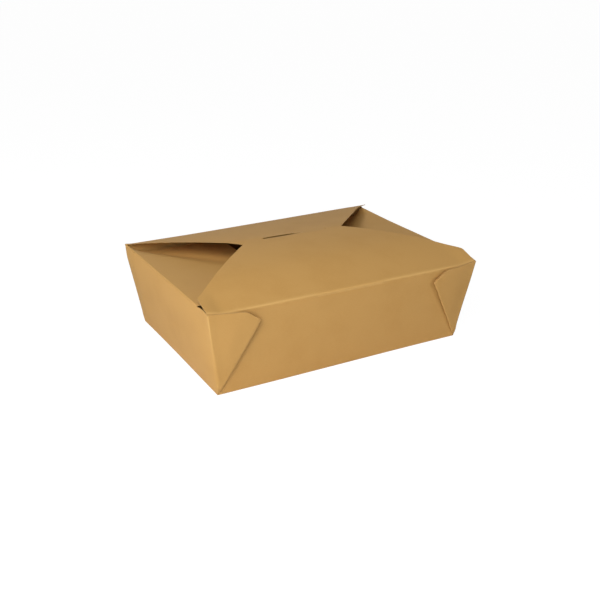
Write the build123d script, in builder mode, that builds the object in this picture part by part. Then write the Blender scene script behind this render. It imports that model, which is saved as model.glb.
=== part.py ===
from build123d import *
from math import atan2, cos, degrees, hypot, radians, sin, sqrt, tan
import os

# Tray of folded board, measured over its outer faces
base_length = 197.0
base_width = 140.0
wall_height = 63.0
wall_flare = 9.0
board = 0.45
inner_fold_radius = 0.15
rim_drop = 0.9

# Corner webs, folded double and glued flat on the long walls
web_foot_share = 1.5
web_tip_drop = 10.8
web_top_drop = 3.0
web_top_length = 27.0
web_corner_drop = 1.6

# End flaps, folded in first
end_flap_depth = 78.0
end_flap_relief = 5.0
end_flap_free_edge = 96.0
end_flap_corner_radius = 10.0
end_flap_sink_angle = 3.0

# Front flap, folded in last, on a crease along the front rim
front_flap_depth = 87.5
front_flap_relief = 1.0
front_flap_side = 16.0
front_flap_free_edge = 79.0
front_flap_corner_radius = 3.0
front_flap_rise_angle = 8.2
front_flap_bow = 3.6
crease_radius = 0.5

# Tongue of the front flap, bent down through the rear flap's slit
tongue_width = 54.0
tongue_depth = 6.0
tongue_corner_radius = 4.0
tongue_bend_radius = 0.8
tongue_shoulder = 3.0

# Rear flap, folded in under the front flap
rear_flap_relief = 1.0
rear_flap_free_edge = 64.0
rear_flap_corner_radius = 4.0
rear_flap_bow = 1.2
rear_lip_depth = 13.0
ridge_radius = 3.0

# Clearances between the front flap and what it lies on
lid_clearance = 0.4
slit_clearance = 0.4

# Overrun of cuts, and the length of wall that each flap's section shares with the tray
overrun = 5.0
wall_leg = 3.0

fold_radius = inner_fold_radius + board
rim_length = base_length + 2 * wall_flare
rim_width = base_width + 2 * wall_flare
wall_lean = atan2(wall_flare, wall_height)
wall_slant = hypot(wall_height, wall_flare)
wall_inset = board / cos(wall_lean)
floor_inset = wall_inset - board * tan(wall_lean)
tray_height = wall_height - rim_drop
lid_room = wall_height + front_flap_depth
end_flap_fold = rim_width - 2 * end_flap_relief
front_flap_fold = rim_length - 2 * front_flap_relief
rear_flap_fold = rim_length - 2 * rear_flap_relief

# Front flap's top line: a bow that rises from the crease along the front rim
crease = Vector(
    (wall_inset + board * tan(wall_lean) - rim_width) / 2,
    wall_height - board / 2,
)
rise = radians(front_flap_rise_angle)
front_along = Vector(cos(rise), sin(rise))
front_up = Vector(-sin(rise), cos(rise))
front_start = crease + Vector(0, board / 2)
front_middle = front_start + front_along * front_flap_depth / 2 + front_up * front_flap_bow
front_end = front_start + front_along * front_flap_depth
front_top = Edge.make_three_point_arc(front_start, front_middle, front_end)
front_corner = front_top @ (front_flap_side / front_top.length)

# The tongue bends down at its root and follows a circle about the crease, so it lifts straight out
root_share = 1 - tongue_shoulder / front_top.length
root_top = front_top @ root_share
root_along = front_top % root_share
root_up = Vector(-root_along.Y, root_along.X)
root_slope = atan2(root_along.Y, root_along.X)
bend_reach = root_top - root_up * (tongue_bend_radius + board / 2) - crease
tongue_radius = bend_reach.length + tongue_bend_radius
reach_angle = atan2(bend_reach.Y, bend_reach.X)
bend_angle = 90 + degrees(root_slope - reach_angle)
tongue_angle = degrees(tongue_depth / tongue_radius)
tongue_tip_z = crease.Y + tongue_radius * sin(reach_angle - radians(tongue_angle))

# The rear flap's ridge lies under the tongue's root, and its slit is cut along the ridge
ridge_z = root_top.Y - board / cos(root_slope) - lid_clearance
ridge = Vector(crease.X + sqrt(tongue_radius**2 - (ridge_z - board / 2 - crease.Y) ** 2), ridge_z)
slit_width = board + 2 * slit_clearance
slit_length = tongue_width + 2 * slit_clearance
rear_corner = Vector(rim_width / 2, wall_height)
rear_chord = ridge - rear_corner
rear_across = Vector(rear_chord.Y, -rear_chord.X).normalized()
rear_middle = (rear_corner + ridge) / 2 + rear_across * rear_flap_bow
lip_run = front_top @ (root_share - rear_lip_depth / front_top.length) - root_top
lip_end = ridge + lip_run
lip_past_end = lip_end + lip_run.normalized() * overrun

# End flaps sink inwards from the rim, and their section runs past their free edge
sink = radians(end_flap_sink_angle)
end_reach = end_flap_depth + overrun
end_flap_end = rim_length / 2 - end_flap_depth * cos(sink)

# Outer face of the front wall, with its origin at the middle of the base fold
front_wall = Plane(
    origin=(0, -base_width / 2, 0),
    x_dir=(1, 0, 0),
    z_dir=(0, -cos(wall_lean), -sin(wall_lean)),
)

# A web fills the angle that three flat corners leave round the base corner, and folds along its middle
wall_splay = atan2(wall_flare, wall_slant)
web_half_angle = radians(45) - wall_splay
web_slope = tan(web_half_angle - wall_splay)
web_stand = 2 * wall_inset

# The web's outline on the front wall: its foot has room for the two folds beside it
web_foot = web_foot_share * (fold_radius + board) / (tan(wall_splay) + web_slope)
web_tip = wall_slant - web_tip_drop
slope_foot = Vector(web_foot * web_slope - base_length / 2, web_foot)
slope_tip = Vector(web_tip * web_slope - base_length / 2, web_tip)
slope_middle = front_wall.offset(2 * board).from_local_coords((slope_foot + slope_tip) / 2)
past_end_wall = -rim_length / 2 - overrun

# Tray: base and four leaning walls, folded up from the base
with BuildPart() as tray:
    with BuildSketch():
        Rectangle(base_length, base_width)
    with BuildSketch(Plane.XY.offset(wall_height)):
        Rectangle(rim_length, rim_width)
    loft(ruled=True)
    with BuildSketch(Plane.XY.offset(board)):
        Rectangle(base_length - 2 * floor_inset, base_width - 2 * floor_inset)
    with BuildSketch(Plane.XY.offset(wall_height)):
        Rectangle(rim_length - 2 * wall_inset, rim_width - 2 * wall_inset)
    loft(ruled=True, mode=Mode.SUBTRACT)
    fillet(tray.edges().group_by(Axis.Z)[0], radius=fold_radius)
    fillet(tray.edges().filter_by_position(Axis.Z, board, board), radius=inner_fold_radius)
    split(bisect_by=Plane.XY.offset(tray_height), keep=Keep.BOTTOM)

# Corner webs: cut from the tray's form made thicker by two boards, with a round fold on the slope
with BuildPart() as webs:
    with BuildSketch():
        Rectangle(base_length, base_width + 2 * web_stand)
    with BuildSketch(Plane.XY.offset(wall_height)):
        Rectangle(rim_length, rim_width + 2 * web_stand)
    loft(ruled=True)
    fillet(webs.edges().group_by(Axis.Z)[1], radius=fold_radius)
    with BuildSketch(front_wall):
        with BuildLine():
            Polyline(
                slope_foot,
                slope_tip,
                (web_top_length - rim_length / 2, wall_slant - web_top_drop),
                (-rim_length / 2, wall_slant - web_corner_drop),
                (past_end_wall, wall_slant - web_corner_drop),
                (past_end_wall, web_foot),
                close=True,
            )
        make_face()
    extrude(amount=overrun, mode=Mode.INTERSECT)
    fillet(webs.edges().sort_by_distance(slope_middle)[0], radius=board)
    mirror(about=Plane.YZ)
    mirror(about=Plane.XZ)

# End flaps: the end wall's board bent inwards over the rim
with BuildPart() as end_flaps:
    with BuildSketch(Plane.XZ):
        with BuildLine():
            FilletPolyline(
                (rim_length / 2 - wall_leg * tan(wall_lean), wall_height - wall_leg),
                (rim_length / 2, wall_height),
                (rim_length / 2 - end_reach * cos(sink), wall_height - end_reach * sin(sink)),
                radius=fold_radius,
            )
            offset(amount=board, side=Side.LEFT)
        make_face()
    extrude(amount=end_flap_fold / 2, both=True)
    with BuildSketch():
        with BuildLine():
            Polyline(
                (rim_length / 2 + overrun, end_flap_fold / 2),
                (rim_length / 2 - wall_leg, end_flap_fold / 2),
                (end_flap_end, end_flap_free_edge / 2),
                (end_flap_end, -end_flap_free_edge / 2),
                (rim_length / 2 - wall_leg, -end_flap_fold / 2),
                (rim_length / 2 + overrun, -end_flap_fold / 2),
                close=True,
            )
        outline = make_face()
        fillet(outline.vertices().group_by(Axis.X)[0], radius=end_flap_corner_radius)
    extrude(amount=lid_room, mode=Mode.INTERSECT)
    mirror(about=Plane.YZ)

# Rear flap: bent over the rear rim, bowed up to the ridge, then down under the front flap
with BuildPart() as rear_flap:
    with BuildSketch(Plane.YZ):
        with BuildLine() as rear_line:
            Line(
                (rim_width / 2 - wall_leg * tan(wall_lean), wall_height - wall_leg),
                rear_corner,
            )
            ThreePointArc(rear_corner, rear_middle, ridge)
            Line(ridge, lip_past_end)
            fillet(rear_line.vertices().sort_by_distance(rear_corner)[0], radius=fold_radius)
            fillet(rear_line.vertices().sort_by_distance(ridge)[0], radius=ridge_radius)
            offset(amount=board, side=Side.LEFT)
        make_face()
    extrude(amount=rear_flap_fold / 2, both=True)
    with BuildSketch():
        with BuildLine():
            Polyline(
                (-rear_flap_fold / 2, rim_width / 2 + overrun),
                (-rear_flap_fold / 2, rim_width / 2 - fold_radius),
                (-rear_flap_free_edge / 2, lip_end.X),
                (rear_flap_free_edge / 2, lip_end.X),
                (rear_flap_fold / 2, rim_width / 2 - fold_radius),
                (rear_flap_fold / 2, rim_width / 2 + overrun),
                close=True,
            )
        outline = make_face()
        fillet(outline.vertices().group_by(Axis.Y)[0], radius=rear_flap_corner_radius)
    extrude(amount=lid_room, mode=Mode.INTERSECT)
    with BuildSketch():
        with Locations((0, ridge.X)):
            Rectangle(slit_length, slit_width)
    extrude(amount=lid_room, mode=Mode.SUBTRACT)

# Carton: the whole folded sheet but for its front flap
with BuildPart() as carton:
    add(tray.part)
    add(webs.part)
    add(end_flaps.part)
    add(rear_flap.part)
carton.part.label = "carton"

# Front flap: bowed board that rises from its round crease, with a tongue bent down from its free edge
with BuildPart() as front_flap:
    with BuildSketch(Plane.YZ):
        with BuildLine():
            ThreePointArc(front_start, front_middle, front_end)
            offset(amount=board, side=Side.RIGHT)
        make_face()
    extrude(amount=front_flap_fold / 2, both=True)
    with BuildSketch():
        with BuildLine():
            Polyline(
                (-front_flap_fold / 2, front_start.X - overrun),
                (-front_flap_fold / 2, front_corner.X),
                (-front_flap_free_edge / 2, front_end.X),
                (front_flap_free_edge / 2, front_end.X),
                (front_flap_fold / 2, front_corner.X),
                (front_flap_fold / 2, front_start.X - overrun),
                close=True,
            )
        outline = make_face()
        fillet(outline.vertices().group_by(Axis.Y)[1:], radius=front_flap_corner_radius)
        with Locations((0, front_end.X)):
            Rectangle(tongue_width, 2 * front_flap_depth + overrun, mode=Mode.SUBTRACT)
    extrude(amount=lid_room, mode=Mode.INTERSECT)
    with BuildSketch(Plane.YZ):
        with BuildLine():
            ThreePointArc(front_start, front_top @ (root_share / 2), root_top)
            bend = JernArc(root_top, root_along, tongue_bend_radius + board / 2, -bend_angle)
            JernArc(bend @ 1, bend % 1, tongue_radius + board / 2, -tongue_angle)
            offset(amount=board, side=Side.RIGHT)
        make_face()
    extrude(amount=tongue_width / 2, both=True)
    with BuildSketch(Plane.YZ):
        with Locations(crease):
            Circle(crease_radius)
    extrude(amount=front_flap_fold / 2, both=True)
    with BuildSketch(Plane.XZ.offset(-root_top.X)):
        with Locations((0, tongue_tip_z)):
            Rectangle(tongue_width + 2 * overrun, 2 * tongue_corner_radius)
            RectangleRounded(
                tongue_width,
                2 * tongue_depth,
                tongue_corner_radius,
                align=(Align.CENTER, Align.MIN),
                mode=Mode.SUBTRACT,
            )
    extrude(amount=overrun, both=True, mode=Mode.SUBTRACT)
front_flap.part.label = "front_flap"

os.makedirs("parts", exist_ok=True)
export_step(carton.part, "parts/carton.step")
export_step(front_flap.part, "parts/front_flap.step")
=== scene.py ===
import math
import bmesh
import bpy
import numpy as np
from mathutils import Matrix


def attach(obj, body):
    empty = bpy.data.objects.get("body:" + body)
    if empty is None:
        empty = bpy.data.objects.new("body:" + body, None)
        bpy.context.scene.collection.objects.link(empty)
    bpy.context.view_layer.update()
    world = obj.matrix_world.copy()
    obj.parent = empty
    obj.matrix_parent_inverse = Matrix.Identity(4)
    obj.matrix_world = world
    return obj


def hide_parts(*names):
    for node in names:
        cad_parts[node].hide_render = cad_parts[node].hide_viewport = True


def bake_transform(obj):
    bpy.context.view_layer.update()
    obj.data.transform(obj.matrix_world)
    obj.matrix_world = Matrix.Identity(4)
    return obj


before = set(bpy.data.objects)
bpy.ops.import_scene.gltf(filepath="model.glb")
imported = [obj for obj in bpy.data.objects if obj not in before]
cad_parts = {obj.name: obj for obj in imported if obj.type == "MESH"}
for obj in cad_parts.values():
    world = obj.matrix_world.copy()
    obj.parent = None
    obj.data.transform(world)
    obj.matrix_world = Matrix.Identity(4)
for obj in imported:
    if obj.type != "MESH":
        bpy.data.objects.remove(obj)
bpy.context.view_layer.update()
mm = 0.001
tiny = 1e-6

# sizes of the folded box in millimetres, over the outer faces of the board
box = {
    "baseLength": 197.0,
    "baseWidth": 140.0,
    "height": 63.0,
    "flare": 9.0,                # how far each wall leans out at the rim
    "board": 0.45,
    "baseFold": 0.4,             # outer radii of the folds
    "cornerFold": 1.8,
    "rimFold": 0.7,
}
halfLength = box["baseLength"] / 2
halfWidth = box["baseWidth"] / 2
rimX = halfLength + box["flare"]
rimY = halfWidth + box["flare"]
slant = math.hypot(box["height"], box["flare"])    # height of a wall along its own face
lean = math.atan2(box["flare"], box["height"])

# meshing of the sheet
sheetMesh = {
    "foldStep": 9.0,             # degrees of a rounded fold to each face
    "weld": 0.02,                # millimetres
    "thinnest": 0.0001,
    "sameShare": 0.0006,         # shares of the board's thickness this close are set together
    "sharp": 38.0,               # degrees between faces at a hard edge
}


def smooth(low, high, x):
    # 0 at low, 1 at high, and 3 t t - 2 t t t between them; low may be the larger of the two
    t = np.clip((x - low) / (high - low), 0, 1)
    return t * t * (3 - 2 * t)


def circle(angle):
    return np.stack([np.cos(angle), np.sin(angle)], -1)


def lengths(path):
    # distance along a path at each of its points
    return np.concatenate([[0], np.cumsum(np.linalg.norm(np.diff(path, axis=0), axis=1))])


def filletPath(points, radii, step):
    # straight runs between the points, each inner point rounded by an arc that touches both runs: it starts
    # radius * tan(half the turn) before its point, and the runs are cut every step
    points = np.asarray(points, float)
    out = [points[:1]]
    last = points[0]

    def run(start, end):
        count = max(2, int(math.ceil(np.linalg.norm(end - start) / step)) + 1)
        return np.linspace(start, end, count)[1:]

    for before, here, after, radius in zip(points[:-2], points[1:-1], points[2:], radii):
        into = (here - before) / np.linalg.norm(here - before)
        away = (after - here) / np.linalg.norm(after - here)
        turn = math.acos(np.clip(into @ away, -1, 1))
        reach = radius * math.tan(turn / 2)
        start = here - into * reach
        out.append(run(last, start))
        side = np.sign(into[0] * away[1] - into[1] * away[0])
        across = np.array([-into[1], into[0]]) * side
        steps = max(2, int(math.ceil(turn / math.radians(sheetMesh["foldStep"])))) if radius > 0 else 1
        angle = np.linspace(0, turn, steps + 1)[1:, None]
        out.append(start + radius * (np.sin(angle) * into + (1 - np.cos(angle)) * across))
        last = here + away * reach
    out.append(run(last, points[-1]))
    return np.concatenate(out)


def bowPoints(start, end, bow, count):
    # a parabola from start to end that stands off the chord by 4 bow t (1 - t), so by bow at its middle
    t = np.linspace(0, 1, count)[:, None]
    chord = end - start
    up = np.array([-chord[1], chord[0]]) / np.linalg.norm(chord)
    up = up if up[1] > 0 else -up
    return start + t * chord + 4 * bow * t * (1 - t) * up


def flapHalf(s, start, width, end, endWidth, radius):
    # half width of a flap at a distance s from its fold: width up to start, then a straight slant to
    # endWidth at end, with the corner there rounded by an arc that touches the slant and the free edge
    slope = (endWidth - width) / (end - start)
    half = width + slope * np.maximum(s - start, 0)
    turn = math.atan2(1, -slope)
    reach = radius * math.tan(turn / 2)
    centre = endWidth - reach
    arc = centre + np.sqrt(np.maximum(radius ** 2 - np.maximum(s - end + radius, 0) ** 2, 0))
    return np.where(s > end - reach * math.cos(math.atan(-slope)), arc, half)


def gridQuads(columns, rows, keep=None, closed=False):
    # one face for each cell of a grid stored column by column, or only for the cells that keep marks
    if keep is None:
        keep = np.ones((columns if closed else columns - 1, rows - 1), bool)
    i, j = np.nonzero(keep)
    k = (i + 1) % columns if closed else i + 1
    return np.stack([i * rows + j, k * rows + j, k * rows + j + 1, i * rows + j + 1], -1)


def sheetPatch(x, y, z, u, w, wearAndHighlight, share=1.0, quads=None):
    # a grid of the sheet as flat lists: place in millimetres, place on the unfolded sheet in metres, paler
    # creases that are partly wear and partly painted highlight, and the share of the board's thickness that
    # is left
    full = [np.broadcast_to(value, x.shape).ravel() for value in (x, y, z, u, w, wearAndHighlight, share)]
    return {
        "points": np.stack(full[:3], -1),
        "flat": np.stack(full[3:5], -1) * mm,
        "wearAndHighlight": full[5],
        "share": full[6],
        "quads": gridQuads(*x.shape) if quads is None else quads,
    }


def boardMesh(name, patches):
    # patches welded into one sheet, which then gets the board's thickness inwards from its outer face
    keys = ("points", "flat", "wearAndHighlight", "share")
    points, flat, wearAndHighlight, share = (np.concatenate([p[key] for p in patches]) for key in keys)
    starts = np.cumsum([0] + [len(p["points"]) for p in patches])[:-1]
    quads = np.concatenate([p["quads"] + start for p, start in zip(patches, starts)])
    mesh = bpy.data.meshes.new(name)
    mesh.from_pydata((points * mm).tolist(), [], quads.tolist())
    unfolded = mesh.uv_layers.new(name="sheet")
    unfolded.data.foreach_set("uv", flat[quads.ravel()].astype(np.float32).ravel())
    # crease mark for each point: partly wear, partly a painted highlight along the folds
    wearAndHighlightMark = mesh.attributes.new("wearAndHighlight", "FLOAT", "POINT")
    wearAndHighlightMark.data.foreach_set("value", wearAndHighlight.astype(np.float32))
    obj = bpy.data.objects.new(name, mesh)
    bpy.context.scene.collection.objects.link(obj)
    group = obj.vertex_groups.new(name="share")
    for level in np.unique(np.round(share, 3)):
        alike = np.abs(share - level) < sheetMesh["sameShare"]
        group.add(np.nonzero(alike)[0].tolist(), float(level), "REPLACE")
    work = bmesh.new()
    work.from_mesh(mesh)
    bmesh.ops.remove_doubles(work, verts=work.verts, dist=sheetMesh["weld"] * mm)
    bmesh.ops.dissolve_degenerate(work, edges=work.edges, dist=sheetMesh["thinnest"] * mm)
    work.to_mesh(mesh)
    work.free()
    mesh.materials.append(kraftFace)
    mesh.materials.append(kraftCut)
    wall = obj.modifiers.new("board", "SOLIDIFY")
    wall.thickness = box["board"] * mm
    wall.offset = -1
    wall.vertex_group = "share"
    wall.use_rim = True
    wall.material_offset_rim = 1             # cut edges take the second material
    solid = bpy.data.meshes.new_from_object(obj.evaluated_get(bpy.context.evaluated_depsgraph_get()))
    obj.modifiers.clear()
    obj.vertex_groups.clear()
    obj.data = solid
    bpy.data.meshes.remove(mesh)
    solid.name = name
    solid.polygons.foreach_set("use_smooth", np.ones(len(solid.polygons), bool))
    solid.set_sharp_from_angle(angle=math.radians(sheetMesh["sharp"]))
    print(name, len(solid.vertices), "vertices")
    return obj


# kraft board: golden tan with pulp clouds, fibres along the sheet, specks, paler cut edges, and paler
# creases that are partly wear and partly a painted highlight
kraft = {
    "colour": (0.556, 0.312, 0.092),
    "deep": (0.525, 0.288, 0.080),
    "pale": (0.591, 0.340, 0.107),
    "fleck": (0.330, 0.172, 0.047),
    # crease colour: crease wear and a painted highlight along the folds
    "crease": (0.690, 0.435, 0.155),
    "cut": (0.530, 0.320, 0.115),
    "clouds": 38,                # noise scales: clouds of two or three centimetres
    "grain": 2600,
    "fibres": (420, 2600, 1),    # along the sheet and across it
    "specks": (900, 2400, 1),
    "cloudRange": (0.3, 0.7),
    "cloudEven": 1.25,           # how far the clouds are evened out
    "paleFibre": (0.42, 0.75),
    "paleAmount": 0.45,
    "darkFibre": (0.46, 0.25),
    "darkAmount": 0.4,
    "speckRange": (0.72, 0.80),
    "speckAmount": 0.5,
    "creaseWearAndHighlightAmount": 0.55,
    "cutAmount": 0.6,
    "roughness": (0.56, 0.70),
    "bump": 0.12,
    "bumpDepth": 0.00012,
    "ior": 1.45,
    "specular": 0.35,
}


def addNode(tree, kind, **values):
    # a new node with the given settings: its own properties, or else the inputs of that name
    node = tree.nodes.new(kind)
    for key, value in values.items():
        if hasattr(node, key):
            setattr(node, key, value)
        else:
            node.inputs[key].default_value = value
    return node


def mixColour(tree, factor, first, second, amount=1.0):
    # first turns into second by the factor times an amount; each is a colour or another node's output
    mix = addNode(tree, "ShaderNodeMix", data_type="RGBA")
    scale = addNode(tree, "ShaderNodeMath", operation="MULTIPLY")
    scale.inputs[1].default_value = amount
    tree.links.new(factor, scale.inputs[0])
    tree.links.new(scale.outputs[0], mix.inputs["Factor"])
    for value, socket in ((first, mix.inputs[6]), (second, mix.inputs[7])):
        if isinstance(value, tuple):
            socket.default_value = (*value, 1)
        else:
            tree.links.new(value, socket)
    return mix.outputs[2]


def ramp(tree, value, low, high):
    node = addNode(tree, "ShaderNodeMapRange", interpolation_type="SMOOTHSTEP")
    node.inputs["From Min"].default_value = low
    node.inputs["From Max"].default_value = high
    tree.links.new(value, node.inputs["Value"])
    return node.outputs["Result"]


def kraftMaterial(name, cut):
    material = bpy.data.materials.new(name)
    material.use_nodes = True
    tree = material.node_tree
    shader = tree.nodes["Principled BSDF"]
    sheet = addNode(tree, "ShaderNodeUVMap", uv_map="sheet").outputs[0]
    place = tree.nodes.new("ShaderNodeTexCoord").outputs["Object"]

    def cloudNoise(scale):
        node = addNode(tree, "ShaderNodeTexNoise", Scale=scale, Detail=3)
        tree.links.new(place, node.inputs["Vector"])
        return node.outputs["Fac"]

    def sheetNoise(stretch, detail):
        node = addNode(tree, "ShaderNodeTexNoise", Scale=1, Detail=detail)
        mapping = addNode(tree, "ShaderNodeMapping", Scale=stretch)
        tree.links.new(sheet, mapping.inputs["Vector"])
        tree.links.new(mapping.outputs[0], node.inputs["Vector"])
        return node.outputs["Fac"]

    fibres = sheetNoise(kraft["fibres"], 4)
    if cut:
        grain = ramp(tree, cloudNoise(kraft["grain"]), *kraft["cloudRange"])
        base = mixColour(tree, grain, kraft["cut"], kraft["pale"], kraft["cutAmount"])
    else:
        clouds = cloudNoise(kraft["clouds"])
        paleFibre = ramp(tree, fibres, *kraft["paleFibre"])
        darkFibre = ramp(tree, fibres, *kraft["darkFibre"])
        specks = ramp(tree, sheetNoise(kraft["specks"], 2), *kraft["speckRange"])
        wearAndHighlight = addNode(tree, "ShaderNodeAttribute", attribute_name="wearAndHighlight").outputs["Fac"]
        base = mixColour(tree, ramp(tree, clouds, *kraft["cloudRange"]), kraft["deep"], kraft["pale"])
        base = mixColour(tree, clouds, base, kraft["colour"], kraft["cloudEven"])
        base = mixColour(tree, paleFibre, base, kraft["pale"], kraft["paleAmount"])
        base = mixColour(tree, darkFibre, base, kraft["deep"], kraft["darkAmount"])
        base = mixColour(tree, specks, base, kraft["fleck"], kraft["speckAmount"])
        # creases lightened: partly wear, partly a painted highlight
        base = mixColour(tree, wearAndHighlight, base, kraft["crease"], kraft["creaseWearAndHighlightAmount"])
    tree.links.new(base, shader.inputs["Base Color"])
    rough = tree.nodes.new("ShaderNodeMapRange")
    rough.inputs["To Min"].default_value, rough.inputs["To Max"].default_value = kraft["roughness"]
    tree.links.new(fibres, rough.inputs["Value"])
    tree.links.new(rough.outputs[0], shader.inputs["Roughness"])
    bump = addNode(tree, "ShaderNodeBump", Strength=kraft["bump"], Distance=kraft["bumpDepth"])
    tree.links.new(fibres, bump.inputs["Height"])
    tree.links.new(bump.outputs[0], shader.inputs["Normal"])
    shader.inputs["IOR"].default_value = kraft["ior"]
    shader.inputs["Specular IOR Level"].default_value = kraft["specular"]
    return material


kraftFace = kraftMaterial("kraftFace", False)
kraftCut = kraftMaterial("kraftCut", True)
print("kraft board done")

# corner webs: the sheet between two walls, folded double on the slope and glued on the long wall
web = {
    "slope": 0.552,              # run of the folded edge from the base corner, for each millimetre of height
    "tipDrop": 10.8,             # tip and shoulder of the cut top, below the rim
    "topDrop": 3.1,
    "topLength": 27.0,           # from the corner to the shoulder
    "frontDrop": 0.9,            # cut top at the front and rear corners, below the rim
    "rearDrop": 0.1,
    "stand": 1.6,                # outer and inner layer, off the wall
    "gap": 0.16,
    "valley": 2.2,               # inner fold, back from the corner
    "parting": (0, 7),           # heights over which the layers part
    "layerShare": 0.92,          # share of half the folded edge that is board
    "lift": 0.65,                # folded edge off the wall, from the corner and from the base
    "liftAlong": (2, 14),
    "liftUp": (3, 16),
    "open": 1.0,                 # gape of the cut top, towards the tip and upwards
    "openAlong": (0.1, 0.65),
    "openUp": (0.25, 1.0),
    "roundFrom": (0, 12),        # the corner's own fold starts sharp, is widest low down and closes upwards
    "roundAbove": 0.55,
    "roundBelow": 0.65,
    "roundUp": (52, 20),
    "leastWide": 1.06,           # a web is at least this many times as wide as its two folds
    "cutPoints": 200,
    "turnSteps": 6,
    "layerSteps": 13,
    "cornerSteps": 7,
    # paler folds of the web, partly wear and partly a painted highlight
    "slopeWearAndHighlight": 0.9,
    "cornerWearAndHighlight": (0.15, 0.85),  # all the way up, and added towards the rim as a painted highlight
    "wearAndHighlightUp": (25, 60),
}
# walls and base panel
walls = {
    "longColumns": 26,
    "endColumns": 20,
    "besideFlap": 3,             # columns of an end wall beside its flap
    "rows": 30,
    "foldRows": 6,
    "baseRings": 6,
    "frontSeam": 2.4,            # the front wall gives way to the front flap this far below the rim
    "frontFlapShare": 0.80,      # end flap's share of its wall's half width, in front and behind
    "rearFlapShare": 0.955,
    "endLip": 0.25,              # end wall beside its flap, above the rim
    "endFlapRise": -3.0,         # slope of the flaps at their folds, in degrees
    "rearFlapRise": 12.7,
    "bulge": 0.5,                # outward bow of the long and the end walls
    "endBulge": 2.8,
    "endCurl": 10.0,             # distance from its corners in which an end wall curls out
    "endProfile": 0.8,           # power that makes the end walls' bow fuller
    "bowDepth": (4, 1),          # how far in from the wall's plane the bow fades
    "bowEnds": (0.5, 0.2),       # no bow this close to the base and to the rim
}
# how this box is out of true, with the ranges over which each bend comes in
outOfTrue = {
    "skew": (0.6, 2.5),          # base's near left corner, pushed to the left and to the front
    "skewAlong": (90, -100),
    "farLeft": 1.0,              # far left edge leans out
    "farLeftBelow": 0.3,
    "farLeftAlong": (30, 76),
    "farLeftUp": (63, 52),
    "frontSag": 2.0,             # front fold below the rim's corners
    "frontEnds": (107, 94),
    "frontRight": 0.3,           # share of that sag left at the right corner
    "rearRise": 1.0,             # rear fold rises to the right
    "rearFrom": (-70, 50),
    "rearTo": (116, 96),
    "foldFrom": (50, 60.5),      # heights over which the wall below follows its fold
    "flapTo": (45, 0),           # depth of the flap that follows it
    "cornerRise": 0.8,           # far right corner of the rim stands high
    "cornerAlong": (20, 107),
    "cornerAcross": (30, 79),
    "cornerUp": (40, 63),
}


def cornerOffset(h):
    return box["flare"] / slant * h


def webWidth(h):
    return (web["slope"] + box["flare"] / slant) * np.maximum(h, 0)


def webTop(q, cornerDrop):
    # height where a ruled line of the web, q of the way from the corner to the slope, meets the cut top: two
    # straight cuts, from the corner to the shoulder and on to the tip
    corner = (0.0, slant - cornerDrop)
    high = slant - web["topDrop"]
    shoulder = (cornerOffset(high) - box["flare"] + web["topLength"], high)
    tipHeight = slant - web["tipDrop"]
    tip = (webWidth(tipHeight), tipHeight)
    t = np.linspace(0, 1, web["cutPoints"])[:, None]
    cuts = ((corner, shoulder), (shoulder, tip))
    cut = np.concatenate([np.array(start) + t * (np.array(end) - start) for start, end in cuts])
    return np.interp(q, cut[:, 0] / webWidth(cut[:, 1]), cut[:, 1])


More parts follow.
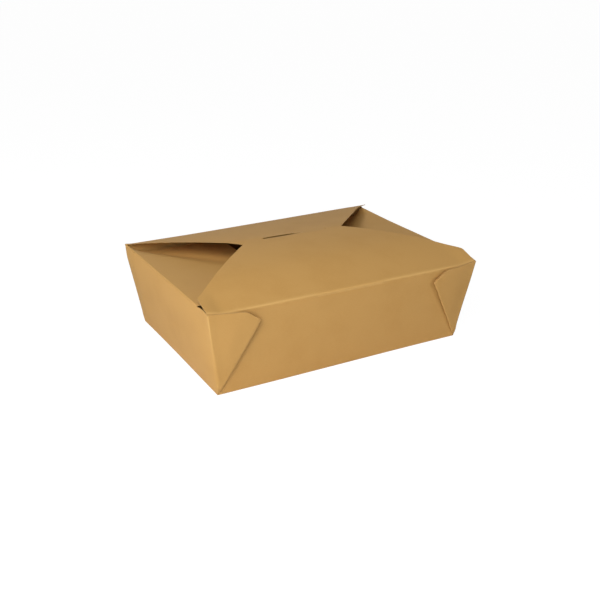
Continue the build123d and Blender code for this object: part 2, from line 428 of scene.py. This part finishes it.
def quarter(longTop, endTop, cornerDrop, flapShare):
    # a quarter of the wall ring, from the middle of a long wall round one corner to the middle of an end
    # wall: columns of ruled lines that meet at the base corner. At each height the path runs along the long
    # wall, turns back under the web, turns again on the slope and comes round the corner
    beside = np.linspace(1, flapShare, walls["besideFlap"] + 1)
    halfTurn = np.linspace(0, math.pi, web["turnSteps"] + 1)[1:]
    layer = np.linspace(0, 1, web["layerSteps"] + 1)[1:]
    runs = {
        "long": np.linspace(0, 1, walls["longColumns"]),
        "valley": halfTurn,
        "under": layer,
        "slope": halfTurn,
        "over": 1 - layer,
        "corner": np.linspace(0, math.pi / 2, web["cornerSteps"] + 1)[1:],
        "end": np.concatenate([beside, np.linspace(flapShare, 0, walls["endColumns"])[1:]])[1:],
    }
    parts = np.repeat(list(runs), [len(run) for run in runs.values()])
    value = np.concatenate(list(runs.values()))
    q = np.zeros(len(parts))                 # share of the way from the corner to the slope
    q[parts == "under"] = layer
    q[parts == "slope"] = 1
    q[parts == "over"] = 1 - layer
    top = webTop(q, cornerDrop)
    top[parts == "long"] = longTop
    top[parts == "valley"] = np.linspace(longTop, top[parts == "under"][0], web["turnSteps"] + 1)[1:]
    top[parts == "end"] = np.where(runs["end"] > flapShare + tiny, slant + walls["endLip"], endTop)

    # rows: round the fold at the base, then up the wall; h is the height along the wall
    foldTurn = math.pi / 2 - lean
    fold = np.linspace(0, foldTurn, walls["foldRows"])
    foldGrid = (len(parts), len(fold))
    reach = box["baseFold"] * math.tan(foldTurn / 2)
    foldOut = np.broadcast_to(box["baseFold"] * np.sin(fold) - reach, foldGrid)
    foldZ = np.broadcast_to(box["baseFold"] * (1 - np.cos(fold)), foldGrid)
    h = reach + (top[:, None] - reach) * np.linspace(0, 1, walls["rows"] + 1)[1:]
    out = np.concatenate([foldOut, cornerOffset(h)], 1)
    z = np.concatenate([foldZ, box["height"] / slant * h], 1)
    h = np.concatenate([np.zeros(foldGrid), h], 1)

    # place in the corner's own plan: a runs back from the corner along the long wall, b stands off it
    opened = smooth(*web["parting"], h)
    stand = web["stand"] * opened
    gap = web["gap"] * opened
    valley = web["valley"] * opened
    turn = (stand - gap) / 2
    bendRound = web["roundAbove"] + web["roundBelow"] * smooth(*web["roundUp"], h)
    bendRound = box["cornerFold"] * smooth(*web["roundFrom"], h) * bendRound
    wide = np.maximum(webWidth(h), (bendRound + turn) * web["leastWide"])
    span = halfLength + out
    none = np.zeros_like(h)
    v = value[:, None]
    plan = {
        "long": (span - (span - valley) * v, none),
        "valley": (valley - gap / 2 * np.sin(v), gap / 2 * (1 - np.cos(v))),
        "under": (valley + (wide - turn - valley) * v, gap),
        "slope": (wide - turn + turn * np.sin(v), gap + turn * (1 - np.cos(v))),
        "over": (bendRound + (wide - turn - bendRound) * v, stand),
        "corner": (bendRound * (1 - np.sin(v)), stand - bendRound * (1 - np.cos(v))),
        "end": (none, (stand - bendRound + halfWidth + out) * v - halfWidth - out),
    }
    a = np.zeros_like(h)
    b = np.zeros_like(h)
    for name, (along, off) in plan.items():
        here = parts == name
        a[here] = along[here]
        b[here] = off[here]
    # the web is glued near the corner; its slope stands a little off the wall all the way down, and its cut
    # top gapes from the shoulder to the tip
    free = np.isin(parts, ["under", "slope", "over"])
    lift = web["lift"] * smooth(*web["liftAlong"], a) * smooth(*web["liftUp"], h)
    gape = smooth(*web["openAlong"], q)[:, None] * smooth(*web["openUp"], h / top[:, None])
    b[free] += (lift + web["open"] * gape)[free]
    x = span - a
    y = -(halfWidth + out) - b

    # base panel: the same columns drawn in towards the middle of the base
    panel = np.linspace(0, 1, walls["baseRings"] + 1)[:-1]
    pad = np.zeros((len(parts), len(panel)))
    x = np.concatenate([x[:, :1] * panel, x], 1)
    y = np.concatenate([y[:, :1] * panel, y], 1)
    z = np.concatenate([pad, z], 1)
    h = np.concatenate([pad, h], 1)
    # the board is thin where two layers are pressed together
    share = np.ones_like(x)
    thin = np.concatenate([pad, np.clip(turn / box["board"] * web["layerShare"], 0, 1)], 1)
    doubled = free | (parts == "valley")
    share[doubled] = thin[doubled]
    # unfolded place: long walls lie along the sheet, end walls and webs across it
    longPart = np.isin(parts, ["long", "valley", "under"])[:, None]
    outer = np.isin(parts, ["slope", "over"])[:, None]
    u = np.where(longPart, x, halfLength + h)
    w = np.where(longPart, -halfWidth - h, y)
    w = np.where(outer, y + (x - halfLength - cornerOffset(h)), w)
    # paler crease marks, partly wear and partly a painted highlight: round the corner fold, stronger towards
    # the rim, and along the folded slope
    wearAndHighlight = np.zeros_like(x)
    corner = parts == "corner"
    least, more = web["cornerWearAndHighlight"]
    crest = np.sin(np.linspace(0, math.pi, web["cornerSteps"] + 2)[1:-1])[:, None]
    wearAndHighlight[corner] = crest * (least + more * smooth(*web["wearAndHighlightUp"], h[corner]))
    wearAndHighlight[parts == "slope"] = web["slopeWearAndHighlight"] * np.sin(halfTurn)[:, None]
    return {
        "x": x,
        "y": y,
        "z": z,
        "u": u,
        "w": w,
        "share": share,
        "wearAndHighlight": wearAndHighlight,
        "long": np.broadcast_to((parts == "long")[:, None], x.shape),
        "longShares": runs["long"],
        "foldHalf": x[parts == "long"][-1, -1],
        "flapHalf": np.abs(y[parts == "end"][runs["end"] <= flapShare + tiny][0, -1]),
        "flapShares": runs["end"][runs["end"] <= flapShare + tiny] / flapShare,
    }


def bend(points):
    # the walls bow outwards by 4 t (1 - t) over their height t, the end walls curling out within a few
    # millimetres of their corners; the base's near left corner is pushed out and the far left edge leans out
    x, y, z = points.T
    t = np.clip(z / box["height"], 0, 1)
    rise = 4 * t * (1 - t)
    halfX = halfLength + box["flare"] * t
    halfY = halfWidth + box["flare"] * t
    fromIn, fromOut = walls["bowDepth"]
    onEnd = smooth(halfX - fromIn, halfX - fromOut, np.abs(x))
    onLong = smooth(halfY - fromIn, halfY - fromOut, np.abs(y))
    curl = 1 - np.exp(-np.maximum(halfY - np.abs(y), 0) / walls["endCurl"])
    endBow = walls["endBulge"] * onEnd * curl * rise ** walls["endProfile"]
    longBow = walls["bulge"] * onLong * np.clip(1 - (x / halfX) ** 2, 0, 1) * rise
    keep = (z > walls["bowEnds"][0]) & (z < box["height"] - walls["bowEnds"][1])
    left = np.clip(-x / halfX, 0, 1)
    skew = (1 - t) * smooth(*outOfTrue["skewAlong"], x) * np.clip(-y / halfY, 0, 1)
    below = outOfTrue["farLeftBelow"]
    far = outOfTrue["farLeft"] * left * smooth(*outOfTrue["farLeftAlong"], y)
    far = far * (below + (1 - below) * t) * smooth(*outOfTrue["farLeftUp"], z)
    dx = np.sign(x) * endBow * keep - outOfTrue["skew"][0] * skew * left - far
    dy = np.sign(y) * longBow * keep - outOfTrue["skew"][1] * skew
    return points + np.stack([dx, dy, np.zeros_like(x)], -1)


def creaseSag(x, y, z):
    # how far the long folds lie below the rim's corners: the front one hangs all along and the rear one
    # rises to the right; both fade near the fold's ends, down the wall and up the flap
    past = np.maximum(rimY - np.abs(y), 0)
    atCorner = np.where(x > 0, outOfTrue["frontRight"], 0)
    front = outOfTrue["frontSag"] * (atCorner + (1 - atCorner) * smooth(*outOfTrue["frontEnds"], np.abs(x)))
    rear = outOfTrue["rearRise"] * smooth(*outOfTrue["rearFrom"], x) * smooth(*outOfTrue["rearTo"], x)
    fade = smooth(*outOfTrue["foldFrom"], z) * smooth(*outOfTrue["flapTo"], past)
    return np.where(y < 0, front, -rear) * fade


def raiseCorner(patch):
    # lift that fades from the far right corner along both rims and down the walls
    x, y, z = patch["points"].T
    fade = smooth(*outOfTrue["cornerAlong"], x) * smooth(*outOfTrue["cornerAcross"], y)
    lift = outOfTrue["cornerRise"] * fade * smooth(*outOfTrue["cornerUp"], z)
    return dict(patch, points=np.stack([x, y, z + lift], -1))


def foldReach(rise):
    # how far below the rim a wall starts to round over into a flap that rises by so many degrees
    return box["rimFold"] * math.tan((math.pi / 2 + lean - math.radians(rise)) / 2)


endReach = foldReach(walls["endFlapRise"])
rearReach = foldReach(walls["rearFlapRise"])
endTop = slant - endReach
frontQuarter = quarter(slant - walls["frontSeam"], endTop, web["frontDrop"], walls["frontFlapShare"])
rearQuarter = quarter(slant - rearReach, endTop, web["rearDrop"], walls["rearFlapShare"])


def ring():
    # four quarters, mirrored and run in turn so that the loop goes once round the box
    order = [
        (frontQuarter, 1, 1, 1),
        (rearQuarter, 1, -1, -1),
        (rearQuarter, -1, -1, 1),
        (frontQuarter, -1, 1, -1),
    ]
    # the grids stand in the order in which sheetPatch takes them
    got = {key: [] for key in ("x", "y", "z", "u", "w", "wearAndHighlight", "share", "long")}
    for part, signX, signY, step in order:
        for key in got:
            sign = signX if key in "xu" else signY if key in "yw" else 1
            got[key].append((part[key] * sign)[::step][:-1])
    *grids, long = (np.concatenate(value) for value in got.values())
    patch = sheetPatch(*grids, gridQuads(*long.shape, closed=True))
    points = bend(patch["points"])
    points[:, 2] -= creaseSag(*points.T) * long.ravel()
    return dict(patch, points=points)


tray = ring()
print("walls and webs", len(tray["points"]), "points")

# rear flap: bowed up from the rear rim to a ridge, then down under the front flap
rearFlap = {
    "half": 107.3,               # half width at the fold
    "sides": 0.6,                # the slant starts this far in
    "widenFrom": (0, 0.9),
    "ridge": (5.67, 74.676),     # y and z
    "lip": (-7.33, 74.2),
    "bow": 1.5,
    "bowPoints": 15,
    "ridgeRound": 3.0,
    "step": 2.2,
    "freeEdge": 32.0,            # half width at the lip
    "radius": 4.0,
    "rightTrim": 1.6,            # right edge drawn in towards the lip
    "ear": (5.6, 1.4),           # right end of the fold stands out and up
    "earAlong": (100, 107),
    "leftEar": 1.2,
    "leftEarAlong": (-98, -107),
    "earStart": 0.4,
    "earDepth": 6.0,
    "earFrom": (0.2, 1.6),
    "leftSag": 2.4,              # left edge sags where it goes under the front flap
    "sagIn": (26, 0),
    "sagAlong": (0, -20),
    "sagFrom": (60, 86),
    "pressed": 0.65,             # the die presses the slanted cut edges thin, by this share
    "pressedFrom": (1.5, 6),
    # paler fold line, partly wear and partly a painted highlight
    "wearAndHighlight": 0.6,
    "wearAndHighlightAt": 1.2,
    "wearAndHighlightWidth": 0.9,
}
# slit on the ridge, for the front flap's tongue
slit = {
    "half": 27.4,
    "edges": (-0.65, 0.75),      # rear and front edge, along the section from the ridge
    "rows": (-3.2, -2.2, -1.3, 1.5, 2.4, 3.2),    # rows of points beside them
    "clear": 3.4,
    "pull": (20, 2),             # columns slide to the slit's ends over this distance
    "shift": 1.9,                # to the right of the middle
    "shiftEnds": (46, 31),
    "open": 3.0,                 # rear edge gapes and lifts towards the left end
    "lift": 0.6,
    "openAlong": (13, -4),
    "openEnd": 2.0,
    "openFade": 8.0,
    "openBack": (30, 20),
}


def rearFlapPatch():
    # the rear wall's section bent over the rim and up a parabola to the ridge, run along the fold: rows
    # follow the section and columns are shares of the half width there; the slit leaves out the faces
    # between two rows on the ridge
    rim = np.array([rimY, box["height"]])
    ridge = np.array(rearFlap["ridge"])
    start = rim - rearReach * np.array([math.sin(lean), math.cos(lean)])
    bow = bowPoints(rim, ridge, rearFlap["bow"], rearFlap["bowPoints"])
    radii = [box["rimFold"]] + [0] * (len(bow) - 2) + [rearFlap["ridgeRound"]]
    section = filletPath(np.concatenate([[start], bow, [rearFlap["lip"]]]), radii, rearFlap["step"])
    s = lengths(section)
    atRidge = np.interp(-ridge[0], -section[:, 0], s)
    # rows at the slit's edges and beside them replace the nearest ones
    atSlit = atRidge + np.array(slit["rows"] + slit["edges"])
    rows = np.unique(np.round(np.concatenate([s[np.abs(s - atRidge) > slit["clear"]], atSlit]), 4))
    farRow, nearRow = (np.argmin(np.abs(rows - atRidge - edge)) for edge in slit["edges"])
    y = np.interp(rows, s, section[:, 0])
    z = np.interp(rows, s, section[:, 1])
    foldWide = rearQuarter["foldHalf"]
    reach = rim[0] - y
    depth = rim[0] - rearFlap["lip"][0]
    freeEdge = rearFlap["freeEdge"]
    half = flapHalf(reach, rearFlap["sides"], rearFlap["half"], depth, freeEdge, rearFlap["radius"])
    half = foldWide + (half - foldWide) * smooth(*rearFlap["widenFrom"], rows)

    # columns slide towards the slit's ends as they come near the ridge
    shares = rearQuarter["longShares"]
    slitShare = slit["half"] / np.interp(atRidge, rows, half)
    near = np.argmin(np.abs(shares - slitShare))
    pull = smooth(*slit["pull"], np.abs(rows - atRidge))
    base = shares[:, None]
    inner = base * slitShare / shares[near]
    outer = 1 - (1 - base) * (1 - slitShare) / (1 - shares[near])
    columns = base + (np.where(base <= shares[near], inner, outer) - base) * pull
    columns = np.concatenate([-columns[::-1][:-1], columns])
    # the right edge is trimmed towards the lip, and the slit sits to the right of the middle
    x = columns * half
    x = x - rearFlap["rightTrim"] * np.clip(columns, 0, 1) * np.clip(reach / depth, 0, 1)
    x = x + slit["shift"] * pull * smooth(*slit["shiftEnds"], x)
    # the slit gapes towards its left end, where the board behind it lifts a little
    fromMiddle = x - slit["shift"]
    behind = rows[farRow] - rows
    gape = smooth(*slit["openAlong"], fromMiddle)
    gape = gape * smooth(slit["half"], slit["half"] - slit["openEnd"], np.abs(fromMiddle)) * (behind >= 0)
    gape = gape * np.exp(-np.maximum(behind, 0) / slit["openFade"]) * smooth(*slit["openBack"], behind)
    y = y + slit["open"] * gape
    z = z + slit["lift"] * gape
    # the fold's ends stand out past the end walls as small ears, and the left edge sags towards the lip
    atFold = np.exp(-(np.maximum(reach - rearFlap["earStart"], 0) / rearFlap["earDepth"]) ** 2)
    atFold = atFold * smooth(*rearFlap["earFrom"], rows)
    ear = smooth(*rearFlap["earAlong"], x) * atFold
    leftEar = smooth(*rearFlap["leftEarAlong"], x) * atFold
    sag = smooth(*rearFlap["sagIn"], half - np.abs(x)) * smooth(*rearFlap["sagAlong"], x)
    sag = sag * smooth(*rearFlap["sagFrom"], reach)
    x = x + rearFlap["ear"][0] * ear - rearFlap["leftEar"] * leftEar
    z = z - creaseSag(x, y, z) + rearFlap["ear"][1] * ear - rearFlap["leftSag"] * sag

    keep = np.ones((len(columns) - 1, len(rows) - 1), bool)
    fromCentre = np.abs(np.arange(len(columns) - 1) + 0.5 - (len(shares) - 1))
    keep[np.ix_(fromCentre < near, np.arange(farRow, nearRow))] = False
    quads = gridQuads(*x.shape, keep)[:, ::-1]
    # fold lightened: partly wear, partly a painted highlight
    wearAndHighlight = rearFlap["wearAndHighlight"] * np.exp(-((rows - rearFlap["wearAndHighlightAt"]) / rearFlap["wearAndHighlightWidth"]) ** 2)
    atEdge = np.abs(columns) > 1 - tiny
    share = 1 - rearFlap["pressed"] * atEdge * smooth(*rearFlap["pressedFrom"], rows)
    return sheetPatch(x, y, z, x, halfWidth + slant + rows, wearAndHighlight, share, quads)


# end flaps: folded in first, under the other flaps
endFlap = {
    "depth": 78.0,
    "sides": 3.0,                # the slant starts this far in
    "frontEdge": 50.0,           # half width of the free edge, in front and behind
    "rearEdge": 70.0,
    "radius": 10.0,
    "step": 2.4,
    "dip": 6.0,                  # pressed down under the rear flap, less towards the free edge
    "dipAcross": (14, -10),
    "dipFrom": (0, 7),
    "dipEase": 0.55,
    "easeFrom": (10, 60),
    # paler fold line, partly wear and partly a painted highlight
    "wearAndHighlight": 0.1,
    "wearAndHighlightWidth": 0.9,
}


def endFlapPatch(side):
    # the end wall's section bent over the rim, run along the fold: x and z come from the section, and y is a
    # share of the flap's half width at that distance from the fold
    rise = math.radians(walls["endFlapRise"])
    start = (rimX - endReach * math.sin(lean), box["height"] - endReach * math.cos(lean))
    tip = (rimX - endFlap["depth"] * math.cos(rise), box["height"] + endFlap["depth"] * math.sin(rise))
    section = filletPath([start, (rimX, box["height"]), tip], [box["rimFold"]], endFlap["step"])
    s = lengths(section)
    reach = s - (s[-1] - endFlap["depth"])
    halves = []
    ends = ((frontQuarter, -1, endFlap["frontEdge"]), (rearQuarter, 1, endFlap["rearEdge"]))
    for part, sign, edge in ends:
        half = flapHalf(reach, endFlap["sides"], part["flapHalf"], endFlap["depth"], edge, endFlap["radius"])
        halves.append(sign * part["flapShares"][:, None] * half)
    y = np.concatenate([halves[0], halves[1][:-1][::-1]])
    x = np.broadcast_to(section[:, 0], y.shape)
    # pressed down under the rear flap: a dip that starts just outside that flap's slanted edge
    slope = (rearFlap["half"] - rearFlap["freeEdge"]) / (rimY - rearFlap["lip"][0])
    outside = (x - rearFlap["half"] + slope * (rimY - y)) / math.hypot(1, slope)
    dip = endFlap["dip"] * smooth(*endFlap["dipAcross"], outside) * smooth(*endFlap["dipFrom"], reach)
    dip = dip * (1 - endFlap["dipEase"] * smooth(*endFlap["easeFrom"], reach))
    quads = gridQuads(*y.shape)[:, ::side]
    # fold lightened: partly wear, partly a painted highlight
    wearAndHighlight = endFlap["wearAndHighlight"] * np.exp(-(reach / endFlap["wearAndHighlightWidth"]) ** 2)
    u = side * (halfLength + slant + reach)
    return sheetPatch(side * x, y, section[:, 1] - dip, u, y, wearAndHighlight, quads=quads)


cartonPatches = [tray, endFlapPatch(1), endFlapPatch(-1), rearFlapPatch()]
carton = boardMesh("foldedCarton", [raiseCorner(patch) for patch in cartonPatches])
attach(carton, "box")
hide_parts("carton")
print("carton done")

# front flap: on top, bowed, with a tongue bent down through the slit
frontFlap = {
    "crease": (-78.74, 62.775),  # y and z of the line that it turns on
    "fold": 1.5,                 # outer radius of the crease
    "end": (7.86, 75.48),        # y and z of the free edge
    "bow": 3.6,
    "bowPoints": 31,
    "step": 2.4,
    "half": 107.0,
    "side": 16.0,                # depth of the straight sides, before the slants
    "soft": 0.5,                 # rounding where the slants start
    "freeEdge": 38.4,            # half width of the free edge
    "radius": 3.0,
    "cornerDepth": 4.0,          # the round corners are within this of the free edge
    "edgeRows": (0.15, 0.4, 0.8, 1.4, 2.0),
    "innerColumns": 25,
    "outerColumns": 27,
    "skew": 2.0,                 # free edge to the right of the fold's middle
    "skewPower": 1.2,
    "tuck": 0.5,                 # right side drawn in towards the fold
    "tongue": 27.0,              # half width of the tongue
    "shoulder": 3.0,             # it bends down this far before the free edge
    "rootClear": 0.8,
    "tongueBend": 0.9,
    "tongueDepth": 6.5,
    "tongueRound": 4.0,
    "bendSteps": 9,
    "tailSteps": 8,
    # paler crease, partly wear and partly a painted highlight
    "wearAndHighlight": 0.75,
    "wearAndHighlightWidth": 1.0,
    "wearAndHighlightBefore": 0.1,
}


def frontFlapPatches():
    # a section from the top of the front wall round the crease and up a parabola to the free edge, run along
    # the fold: the middle columns stay parallel and go on down the tongue, the outer ones fan to the outline
    rim = np.array([-rimY, box["height"]])
    seam = rim - walls["frontSeam"] * np.array([-math.sin(lean), math.cos(lean)])
    end = np.array(frontFlap["end"])
    bow = bowPoints(rim, end, frontFlap["bow"], frontFlap["bowPoints"])
    radii = [frontFlap["fold"]] + [0] * (len(bow) - 2)
    plate = filletPath(np.concatenate([[seam], bow]), radii, frontFlap["step"])
    s = lengths(plate)
    total = end[0] - rim[0]
    rootRow = np.interp(total - frontFlap["shoulder"], plate[:, 0] - rim[0], s)
    clear = s[np.abs(s - rootRow) > frontFlap["rootClear"]]
    rows = np.concatenate([clear, [rootRow], s[-1] - np.array(frontFlap["edgeRows"])])
    rows = np.unique(np.round(rows, 4))
    y = np.interp(rows, s, plate[:, 0])
    z = np.interp(rows, s, plate[:, 1])
    d = np.maximum(y - rim[0], 0)
    wide, side, soft = frontFlap["half"], frontFlap["side"], frontFlap["soft"]
    # half width: the wall's own at the seam, straight sides, then slants with rounded corners
    slope = (wide - frontFlap["freeEdge"]) / (total - side)
    eased = wide - slope * soft * np.logaddexp(0, (d - side) / soft)
    half = flapHalf(d, side, wide, total, frontFlap["freeEdge"], frontFlap["radius"])
    half = np.where(d < total - frontFlap["cornerDepth"], eased, half)
    below = d <= 0
    fromSeam = smooth(0, walls["frontSeam"], rows)
    foldWide = frontQuarter["foldHalf"]
    half[below] = foldWide + (wide - foldWide) * fromSeam[below]
    skew = frontFlap["skew"] * (d / total) ** frontFlap["skewPower"]
    tuck = frontFlap["tuck"] * np.clip(1 - d / side, 0, 1) * fromSeam
    # crease lightened: partly wear, partly a painted highlight
    fromCrease = rows - walls["frontSeam"] + frontFlap["wearAndHighlightBefore"]
    wearAndHighlight = frontFlap["wearAndHighlight"] * np.exp(-(fromCrease / frontFlap["wearAndHighlightWidth"]) ** 2)

    def strips(x, y, z, along, wearAndHighlightMark):
        return sheetPatch(x, y, z - creaseSag(x, y, z), x, -halfWidth - slant - along, wearAndHighlightMark)

    # the two sides, from the tongue's edge out to the outline
    tongue = frontFlap["tongue"]
    outer = np.linspace(0, 1, frontFlap["outerColumns"])[:, None]
    patches = []
    for hand, edge in ((1, half - tuck), (-1, half)):
        x = hand * (tongue + (edge - tongue) * outer) + skew
        patches.append(strips(x[::hand], y, z, rows, wearAndHighlight))
    # the tongue: the middle columns turn down at the root, then follow a circle about the crease
    crease = np.array(frontFlap["crease"])
    root = np.array([np.interp(rootRow, rows, y), np.interp(rootRow, rows, z)])
    before = np.array([np.interp(rootRow - 1, rows, y), np.interp(rootRow - 1, rows, z)])
    along = (root - before) / np.linalg.norm(root - before)
    down = np.array([along[1], -along[0]])
    hub = root + down * frontFlap["tongueBend"]
    arm = hub - crease
    radius = np.linalg.norm(arm) + frontFlap["tongueBend"]
    armAngle = math.atan2(arm[1], arm[0])
    startAngle = math.atan2(-down[1], -down[0])
    bendAngle = np.linspace(startAngle, armAngle, frontFlap["bendSteps"] + 1)[1:]
    swing = np.linspace(0, frontFlap["tongueDepth"] / radius, frontFlap["tailSteps"] + 1)[1:]
    bent = hub + frontFlap["tongueBend"] * circle(bendAngle)
    tail = crease + radius * circle(armAngle - swing)
    upToRoot = rows <= rootRow + tiny
    flatRows = upToRoot.sum()
    strip = np.concatenate([np.stack([y, z], -1)[upToRoot], bent, tail])
    stripRows = rootRow + lengths(strip) - lengths(strip)[flatRows - 1]
    stripSkew = np.interp(strip[:, 0], y, skew)
    stripSkew[flatRows:] = stripSkew[flatRows - 1]
    corner = frontFlap["tongueRound"]
    past = np.maximum(stripRows - stripRows[-1] + corner, 0)
    narrow = tongue - (corner - np.sqrt(np.maximum(corner ** 2 - past ** 2, 0)))
    inner = np.linspace(-1, 1, frontFlap["innerColumns"])[:, None]
    x = inner * narrow + stripSkew
    patches.append(strips(x, strip[:, 0], strip[:, 1], stripRows, np.interp(stripRows, rows, wearAndHighlight)))
    return patches


flap = boardMesh("frontFlap", frontFlapPatches())
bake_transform(flap)
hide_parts("front_flap")
print("front flap done")

# studio: white floor and surround, where the floor keeps a faint shadow
studio = {
    "floorHalf": 6.0,            # metres
    "floorColour": (0.82, 0.82, 0.82),
    "floorRoughness": 0.9,
    "floorWhite": 1.108,         # what the camera sees in place of the lit floor
    "floorShade": 0.12,          # share of the lit floor, with its shadow, that is left in that
    "lightDistance": 0.9,
    "lightSize": 0.45,
    "lightAim": (0, 0, 0.04),
}
# soft lights: degrees from the front towards the left, degrees above the floor, watts
lights = {
    "key": (34, 40, 3.6),
    "side": (90, 40, 1.95),
    "low": (58, 22, 3.2),
    "right": (-30, 20, 1.1),
}
# camera: where the photograph was taken from
view = {
    "azimuth": 28.75,            # degrees from the front towards the left
    "elevation": 21.95,
    "distance": 0.6711,
    "target": (-0.0050, -0.0151, 0.0300),
    "lens": 53.514,
}


def orbit(name, data, azimuth, elevation, distance, target):
    # a light or camera on a sphere about the target, turned to face it
    obj = bpy.data.objects.new(name, data)
    bpy.context.scene.collection.objects.link(obj)
    turn, tilt = math.radians(azimuth), math.radians(elevation)
    away = np.array([-math.sin(turn) * math.cos(tilt), -math.cos(turn) * math.cos(tilt), math.sin(tilt)])
    obj.location = np.array(target) + distance * away
    obj.rotation_euler = (math.pi / 2 - tilt, 0, -turn)
    return obj


# the surround is white to the camera, to reflections and through glass, and gives no light
world = bpy.data.worlds.new("surround")
bpy.context.scene.world = world
world.use_nodes = True
tree = world.node_tree
rays = tree.nodes.new("ShaderNodeLightPath")
seen = addNode(tree, "ShaderNodeMath", operation="MAXIMUM")
seenThrough = addNode(tree, "ShaderNodeMath", operation="MAXIMUM")
tree.links.new(rays.outputs["Is Camera Ray"], seen.inputs[0])
tree.links.new(rays.outputs["Is Glossy Ray"], seen.inputs[1])
tree.links.new(seen.outputs[0], seenThrough.inputs[0])
tree.links.new(rays.outputs["Is Transmission Ray"], seenThrough.inputs[1])
background = tree.nodes["Background"]
background.inputs["Color"].default_value = (1, 1, 1, 1)
tree.links.new(seenThrough.outputs[0], background.inputs["Strength"])

floorMesh = bpy.data.meshes.new("floor")
corners = np.array([(-1, -1, 0), (1, -1, 0), (1, 1, 0), (-1, 1, 0)]) * studio["floorHalf"]
floorMesh.from_pydata(corners.tolist(), [], [(0, 1, 2, 3)])
floor = bpy.data.objects.new("floor", floorMesh)
bpy.context.scene.collection.objects.link(floor)
paint = bpy.data.materials.new("floorPaint")
paint.use_nodes = True
tree = paint.node_tree
lit = tree.nodes["Principled BSDF"]
lit.inputs["Base Color"].default_value = (*studio["floorColour"], 1)
lit.inputs["Roughness"].default_value = studio["floorRoughness"]
white = addNode(tree, "ShaderNodeEmission", Strength=studio["floorWhite"])
rays = tree.nodes.new("ShaderNodeLightPath")
amount = addNode(tree, "ShaderNodeMath", operation="MULTIPLY")
amount.inputs[1].default_value = 1 - studio["floorShade"]
mix = tree.nodes.new("ShaderNodeMixShader")
tree.links.new(rays.outputs["Is Camera Ray"], amount.inputs[0])
tree.links.new(amount.outputs[0], mix.inputs[0])
tree.links.new(lit.outputs[0], mix.inputs[1])
tree.links.new(white.outputs[0], mix.inputs[2])
tree.links.new(mix.outputs[0], tree.nodes["Material Output"].inputs["Surface"])
floorMesh.materials.append(paint)

for name, (azimuth, elevation, watts) in lights.items():
    lamp = bpy.data.lights.new(name, "AREA")
    lamp.shape = "DISK"
    lamp.size = studio["lightSize"]
    lamp.energy = watts
    orbit(name, lamp, azimuth, elevation, studio["lightDistance"], studio["lightAim"])

cameraData = bpy.data.cameras.new("camera")
cameraData.lens = view["lens"]
camera = orbit("camera", cameraData, view["azimuth"], view["elevation"], view["distance"], view["target"])
bpy.context.scene.camera = camera
bpy.context.scene.view_settings.view_transform = "Standard"
print("studio and camera done")
